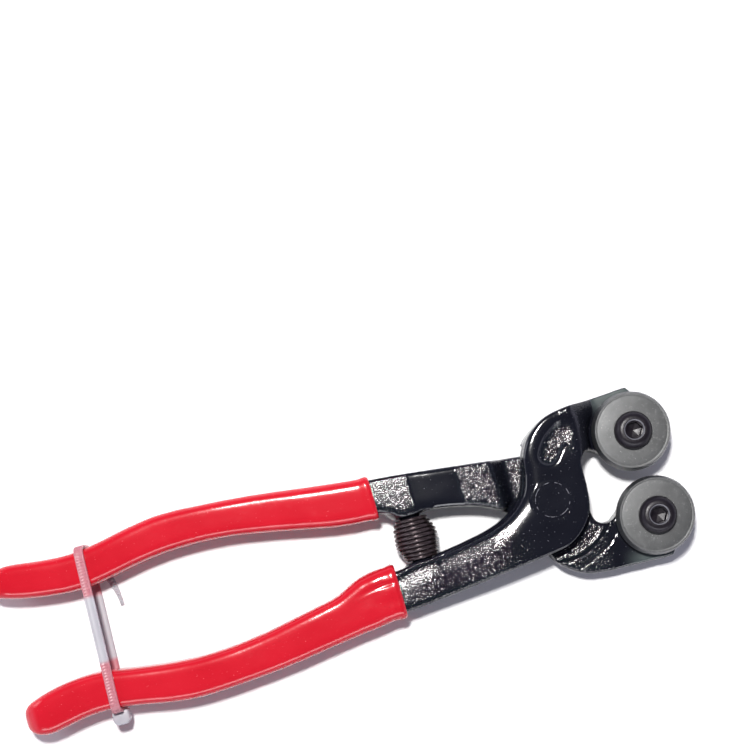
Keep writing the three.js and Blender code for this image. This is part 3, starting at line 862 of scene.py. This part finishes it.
# The thin ring at the socket's rim is lighter grey as a painted highlight.
rim_highlight_mask = add_node(tree, "Attribute", attribute_name="rim_highlight").outputs["Fac"]
colour = mix(tree, marks["Clouds"], OXIDE_DEEP, OXIDE_PALE)
colour = mix(tree, rim_highlight_mask, colour, RIM_HIGHLIGHT_GREY)
place = add_node(tree, "TexCoord").outputs["Object"]
set_finish(tree, shader, colour, between(tree, marks["Clouds"], 0.27, 0.42),
           noise_in(tree, place, 1800, 3.0), OXIDE_BUMP)

for side, which, body in ((1, "upper", "front_handle"), (-1, "lower", "back_handle")):
    low, high = (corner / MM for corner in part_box(which + "_wheel_screw"))
    under = high.z - HEAD_H
    axis = wheels[side] / MM
    shape = [(0.02, low.z, 0), (SHANK - 0.5, low.z, 0), (SHANK, low.z + 0.5, 0), (SHANK, under, 0),
             (HEAD_R - 0.12, under, 0), (HEAD_R, under + 0.12, 0), (HEAD_R, under + 0.55, 0)]
    dome_low = under + 0.6
    for turn in np.linspace(0.08, 1, 12) * math.pi / 2:
        shape.append((CROWN_R + (HEAD_R - CROWN_R) * math.cos(turn) ** 0.8,
                      dome_low + (high.z - dome_low) * math.sin(turn), 0))
    shape += [(2.88, high.z, 0), (2.80, high.z - 0.04, 0), (2.58, high.z - 0.24, 0),
              (2.50, high.z - 0.27, 0), (SOCKET_HALF + 0.02, high.z - 0.36, 1),
              (SOCKET_HALF, high.z - 0.55, 1), (SOCKET_HALF, high.z - SOCKET_DEPTH + 0.1, 1),
              (SOCKET_HALF - 0.1, high.z - SOCKET_DEPTH, 1),
              (0.02, high.z - SOCKET_DEPTH - 0.55, 1)]
    screw = join_rings(which + "_button_screw", [screw_ring(r, z, h, axis) for r, z, h in shape],
                       screw_black)
    # Marks the ring at the socket's rim for its painted highlight.
    rim_highlight = [1.0 if 2.55 < r < 2.85 and z > high.z - 0.4 else 0.0 for r, z, h in shape]
    add_mask(screw.data, "rim_highlight", np.repeat(rim_highlight, SIDES))
    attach(crisp(screw), body)
    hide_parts(which + "_wheel_screw")


# ---- The cable tie -----------------------------------------------------------------------
# A white nylon tie, pulled tight round both grips for sale: a toothed strap, the locking head
# outside the front grip, and the thin end of the strap, which shows under the back grip.
STRAP_W, STRAP_T = 2.6, 1.0
STRAP_GAP = 0.12
TOOTH_PITCH, TOOTH_RISE = 0.85, 0.11
TIE_SLANT = 0.05
TAIL_W, TAIL_NARROWING, TAIL_Z, TAIL_STEPS = 2.4, 0.62, 0.62, 60
HEAD_HALF_W, HEAD_DEEP, HEAD_TALL = 2.35, 3.3, 4.6
HEAD_FRONT, HEAD_INSET = 0.6, 3.1
HEAD_ROUNDING = 0.45 * MM
TAIL_ROUTE = ((-1.0, 20.6), (2.4, 17.6), (5.0, 13.5), (6.2, 9.0), (6.6, 3.6))
NYLON_BUMP = 0.02 * MM
NYLON_DEEP, NYLON_PALE = (0.39, 0.38, 0.415, 1), (0.455, 0.445, 0.475, 1)
NYLON_PAINTED_SHOW_THROUGH, RED_SHARE = (0.46, 0.14, 0.17, 1), 0.92
tie_x = cad_low.x / MM + 27.15
tie_y = 1.1


def strap_loop():
    """The strap's middle line round both grips, as (y, z) in mm, evenly spaced."""
    line = []
    for side, angles in ((1, np.linspace(-85, -275, 60)), (-1, np.linspace(95, -95, 60))):
        xs, middle_y, half_y = grip_shapes[side]
        y = np.interp(tie_x, xs, middle_y)
        grow = STRAP_T / 2 + STRAP_GAP
        half = np.interp(tie_x, xs, half_y) + grow
        tall = GRIP_HALF_Z + grow
        for angle in np.radians(angles):
            c, s = math.cos(angle), math.sin(angle)
            line.append((y + half * math.copysign(abs(c) ** (2 / GRIP_SQUARE), c),
                         GRIP_MIDDLE_Z + tall * math.copysign(abs(s) ** (2 / GRIP_SQUARE), s)))
    line = np.array(line + line[:1])
    run = np.concatenate([[0], np.cumsum(np.linalg.norm(np.diff(line, axis=0), axis=1))])
    steps = np.linspace(0, run[-1], int(run[-1] / (TOOTH_PITCH / 4)) + 1)
    return np.stack([np.interp(steps, run, line[:, k]) for k in range(2)], axis=1)


def strap_section(width, thick, tooth):
    """The strap's section, as (across, out): a toothed groove between two rails on the outside."""
    w, t = width / 2, thick / 2
    floor = t - 0.1 + tooth
    return [(-w, -0.6 * t), (-w, 0.6 * t), (-0.86 * w, t), (-0.68 * w, t), (-0.62 * w, floor),
            (0.62 * w, floor), (0.68 * w, t), (0.86 * w, t), (w, 0.6 * t), (w, -0.6 * t),
            (0.86 * w, -t), (-0.86 * w, -t)]


white_nylon, tree, shader = new_material("white_nylon", subsurface_weight=0.25,
                                         subsurface_scale=0.6 * MM)
shader.inputs["Subsurface Radius"].default_value = (1.0, 0.8, 0.9)
marks = place_group(tree, handling_marks, {"Cloud Size": 140.0, "Dust": 0.2})
backed = add_node(tree, "Attribute", attribute_name="on_vinyl").outputs["Fac"]
colour = mix(tree, marks["Clouds"], NYLON_DEEP, NYLON_PALE)
# Painted show-through: over the grips the nylon is coloured pinkish red, for the red shining through
# it.
colour = mix(tree, maths(tree, "MULTIPLY", backed, RED_SHARE), colour, NYLON_PAINTED_SHOW_THROUGH)
place = add_node(tree, "TexCoord").outputs["Object"]
set_finish(tree, shader, colour, between(tree, marks["Clouds"], 0.30, 0.45),
           noise_in(tree, place, 900, 2.0), NYLON_BUMP)


def strap_ring(point, across, out, width, tooth):
    return [point + u * across + v * out for u, v in strap_section(width, STRAP_T, tooth)]


def tube_faces(count, closed):
    """Faces between rows of strap sections, joined end to start or capped."""
    sides = len(strap_section(STRAP_W, STRAP_T, 0))
    last = count if closed else count - 1
    faces = [(i * sides + k, (i + 1) % count * sides + k, (i + 1) % count * sides + (k + 1) % sides,
              i * sides + (k + 1) % sides) for i in range(last) for k in range(sides)]
    if not closed:
        faces += [tuple(range(sides)), tuple((count - 1) * sides + k for k in range(sides))[::-1]]
    return faces


def tied_strap(name):
    """The loop of toothed strap. Where it lies on a grip, its colour is painted pinkish red, as
    painted show-through of the red vinyl shining through the nylon.
    """
    loop = strap_loop()[:-1]
    count = len(loop)
    verts, backed = [], []
    for i, (y, z) in enumerate(loop):
        along = loop[(i + 2) % count] - loop[i - 2]
        along /= np.linalg.norm(along)
        out = np.array((0, along[1], -along[0]))
        out *= math.copysign(1, out @ (0, y - tie_y, z - GRIP_MIDDLE_Z))
        over = step(abs(y - tie_y), 8.5, 10)
        tooth = TOOTH_RISE * over * (1 - (i % 4) / 2)
        point = np.array((tie_x + TIE_SLANT * (y - tie_y), y, z))
        verts += strap_ring(point, np.array((1, 0, 0)), out, STRAP_W, tooth)
        backed.append(over)
    tie = new_piece(name, np.array(verts) * MM, tube_faces(count, True), white_nylon)
    add_mask(tie.data, "on_vinyl", np.repeat(backed, len(verts) // count))
    return tie


def tie_tail(name):
    """The thin end of the strap, lying on the table from under the back grip."""
    line = np.array(TAIL_ROUTE)
    t = np.linspace(0, 1, TAIL_STEPS)
    spots = np.linspace(0, 1, len(line))
    u, v = (np.interp(t, spots, line[:, k]) for k in range(2))
    blur = np.exp(-0.5 * ((t[:, None] - t) / 0.07) ** 2)
    blur /= blur.sum(1)[:, None]
    u, v = blur @ u, blur @ v
    verts = []
    for i in range(TAIL_STEPS):
        after, before = min(i + 1, TAIL_STEPS - 1), max(i - 1, 0)
        way = np.array((u[after] - u[before], v[after] - v[before], 0))
        across = np.array((-way[1], way[0], 0)) / np.linalg.norm(way)
        width = TAIL_W * (1 - TAIL_NARROWING * step(t[i], 0.35, 1.0))
        point = np.array((tie_x + u[i], tie_y + v[i], TAIL_Z))
        verts += strap_ring(point, -across, np.array((0, 0, 1)), width, 0.12 * (1 - (i % 3)))
    return new_piece(name, np.array(verts) * MM, tube_faces(len(t), False), white_nylon)


def tie_head(name, y_near, z_middle):
    """The locking head: a tapered block with rounded edges."""
    half, deep = HEAD_HALF_W, HEAD_DEEP
    outline = ((-half, HEAD_FRONT), (half, HEAD_FRONT), (half, -0.62 * deep), (0.62 * half, -deep),
               (-0.62 * half, -deep), (-half, -0.62 * deep))
    x0 = tie_x + TIE_SLANT * (y_near - tie_y)
    verts = [(x0 + u, y_near + v, z_middle + way * HEAD_TALL / 2)
             for way in (-1, 1) for u, v in outline]
    count = len(outline)
    faces = [tuple(range(count)), tuple(range(2 * count - 1, count - 1, -1))]
    faces += [(k, k + count, (k + 1) % count + count, (k + 1) % count) for k in range(count)]
    head = new_piece(name, np.array(verts) * MM, faces, white_nylon)
    rounding = head.modifiers.new("rounding", "BEVEL")
    rounding.width, rounding.segments, rounding.limit_method = HEAD_ROUNDING, 4, "NONE"
    shade_smooth(apply_modifiers(head))
    return head


tie = tied_strap("nylon_tie")
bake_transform(tie)
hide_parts("cable_tie")
front_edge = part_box("cable_tie")[0].y / MM + HEAD_INSET
for piece, body in ((tie_head("tie_head", front_edge, GRIP_MIDDLE_Z), "front_handle"),
                    (tie_tail("tie_tail"), "back_handle")):
    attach(crisp(piece, 40), body)
